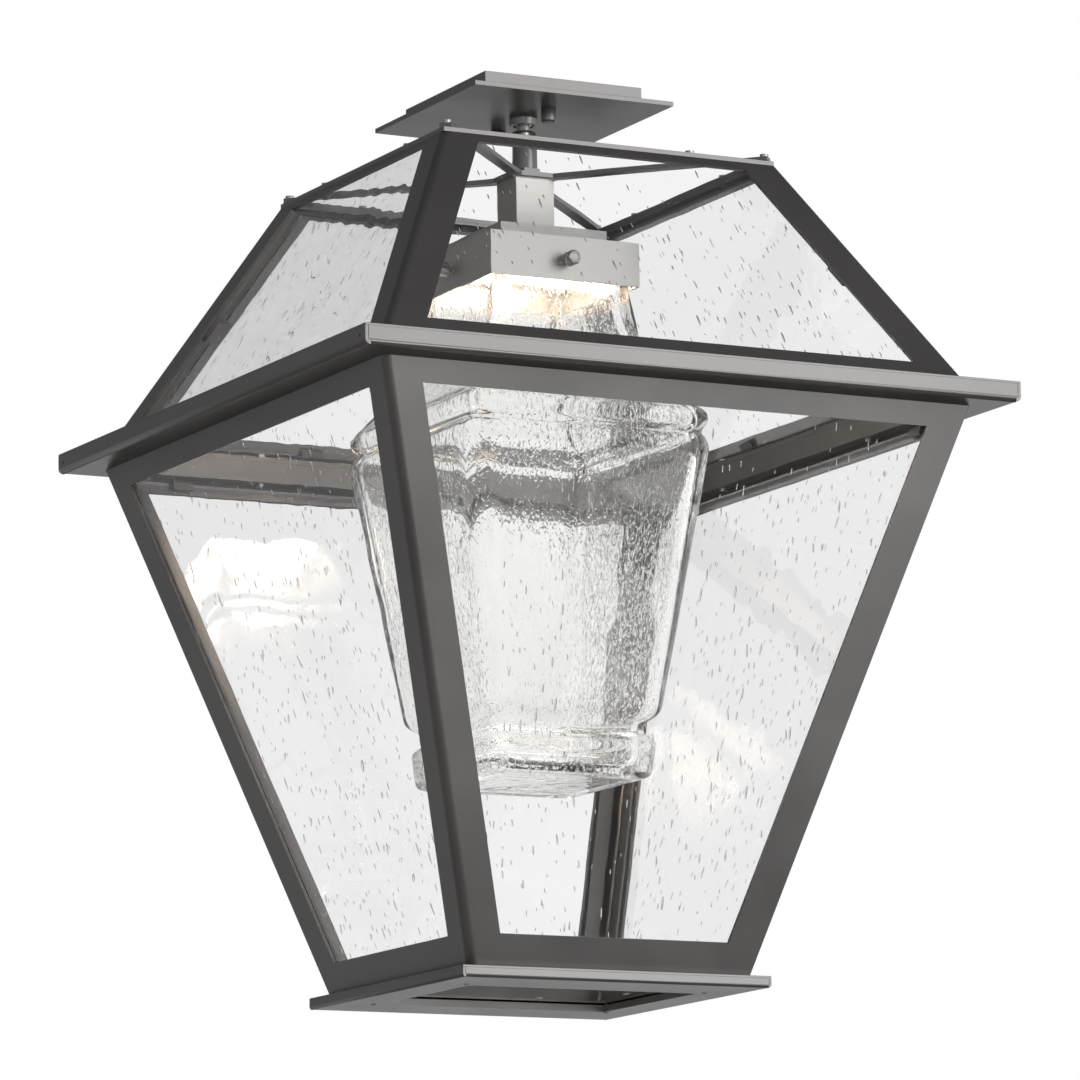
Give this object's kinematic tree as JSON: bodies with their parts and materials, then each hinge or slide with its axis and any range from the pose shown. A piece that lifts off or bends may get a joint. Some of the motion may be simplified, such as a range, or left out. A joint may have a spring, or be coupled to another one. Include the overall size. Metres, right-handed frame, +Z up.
{
  "type": "porch ceiling lantern",
  "caption": "Square tapered outdoor ceiling lantern with a wide folded brim, seeded glass panes and a moulded square glass inside, hung from a swivel canopy.",
  "frame": {"origin": "middle of the top face of the mounting crossbar, where it meets the ceiling", "axes": "+Z up into the ceiling, +X to the right and -Y out of the side with the front thumb screw"},
  "size_m": [0.457, 0.457, 0.5844],
  "materials": {
    "powder_coat": "satin dark bronze-grey metallic powder coat on sheet steel",
    "zinc_steel": "zinc plated, dull",
    "green_screw": "green passivated earth screw",
    "nylon": "natural nylon",
    "seeded_glass": "clear sheet glass with small drawn seeds",
    "bright_rivet": "bare domed rivet head",
    "brushed_aluminium": "light satin brushed",
    "led_board": "white solder mask",
    "led_lens": "opal lens, lit",
    "gasket": "silicone",
    "moulded_glass": "thick clear moulded glass with a seedy lower half"
  },
  "bodies": {
    "ceiling_mount": {"canopy_plate": "powder_coat", "canopy_tray": "powder_coat", "mounting_crossbar": "zinc_steel", "mounting_studs": "zinc_steel", "canopy_cap_nuts": "powder_coat", "ground_screw": "green_screw", "swivel_collar": "powder_coat"},
    "swivel_liner": {"swivel_liner": "nylon"},
    "thumb_screw_front": {"thumb_screw_front": "brushed_aluminium"},
    "thumb_screw_right": {"thumb_screw_right": "brushed_aluminium"},
    "thumb_screw_back": {"thumb_screw_back": "brushed_aluminium"},
    "thumb_screw_left": {"thumb_screw_left": "brushed_aluminium"},
    "lantern": {"swivel_ball": "zinc_steel", "stem_tube": "powder_coat", "stem_locknut": "zinc_steel", "stem_top_nut": "powder_coat", "column_tube": "brushed_aluminium", "roof_spider": "powder_coat", "spider_screws": "zinc_steel", "roof_top_ring": "powder_coat", "ring_screws": "zinc_steel", "roof_frame_front": "powder_coat", "roof_frame_back": "powder_coat", "roof_pane_front": "seeded_glass", "roof_pane_right": "seeded_glass", "roof_pane_back": "seeded_glass", "roof_pane_left": "seeded_glass", "roof_glass_clips": "powder_coat", "brim_cover": "powder_coat", "brim_tray": "powder_coat", "brim_bolts": "zinc_steel", "body_frame_front": "powder_coat", "body_frame_back": "powder_coat", "body_pane_front": "seeded_glass", "body_pane_right": "seeded_glass", "body_pane_back": "seeded_glass", "body_pane_left": "seeded_glass", "body_glass_stops": "powder_coat", "body_glass_clips": "powder_coat", "base_cover": "powder_coat", "base_tray": "powder_coat", "base_screws": "zinc_steel", "base_rivets": "bright_rivet", "fitter_nipple": "zinc_steel", "mid_plate": "brushed_aluminium", "fitter_housing": "brushed_aluminium", "led_heat_sink": "brushed_aluminium", "led_board": "led_board", "led_lens": "led_lens", "glass_gasket": "gasket", "glass_diffuser": "moulded_glass"}
  },
  "joints": [
    {"name": "swivel_front_to_back", "type": "hinge", "parent": "ceiling_mount", "child": "swivel_liner", "pos_m": [0, 0, -0.014], "axis": [1, 0, 0], "range_deg": [-10, 10]},
    {"name": "swivel_side_to_side", "type": "hinge", "parent": "swivel_liner", "child": "lantern", "pos_m": [0, 0, -0.014], "axis": [0, 1, 0], "range_deg": [-10, 10]},
    {"name": "thumb_screw_front_unscrew", "type": "slide", "parent": "lantern", "child": "thumb_screw_front", "axis": [0, -1, 0], "range_m": [0, 0.0035]},
    {"name": "thumb_screw_right_unscrew", "type": "slide", "parent": "lantern", "child": "thumb_screw_right", "axis": [1, 0, 0], "range_m": [0, 0.0035]},
    {"name": "thumb_screw_back_unscrew", "type": "slide", "parent": "lantern", "child": "thumb_screw_back", "axis": [0, 1, 0], "range_m": [0, 0.0035]},
    {"name": "thumb_screw_left_unscrew", "type": "slide", "parent": "lantern", "child": "thumb_screw_left", "axis": [-1, 0, 0], "range_m": [0, 0.0035]}
  ]
}
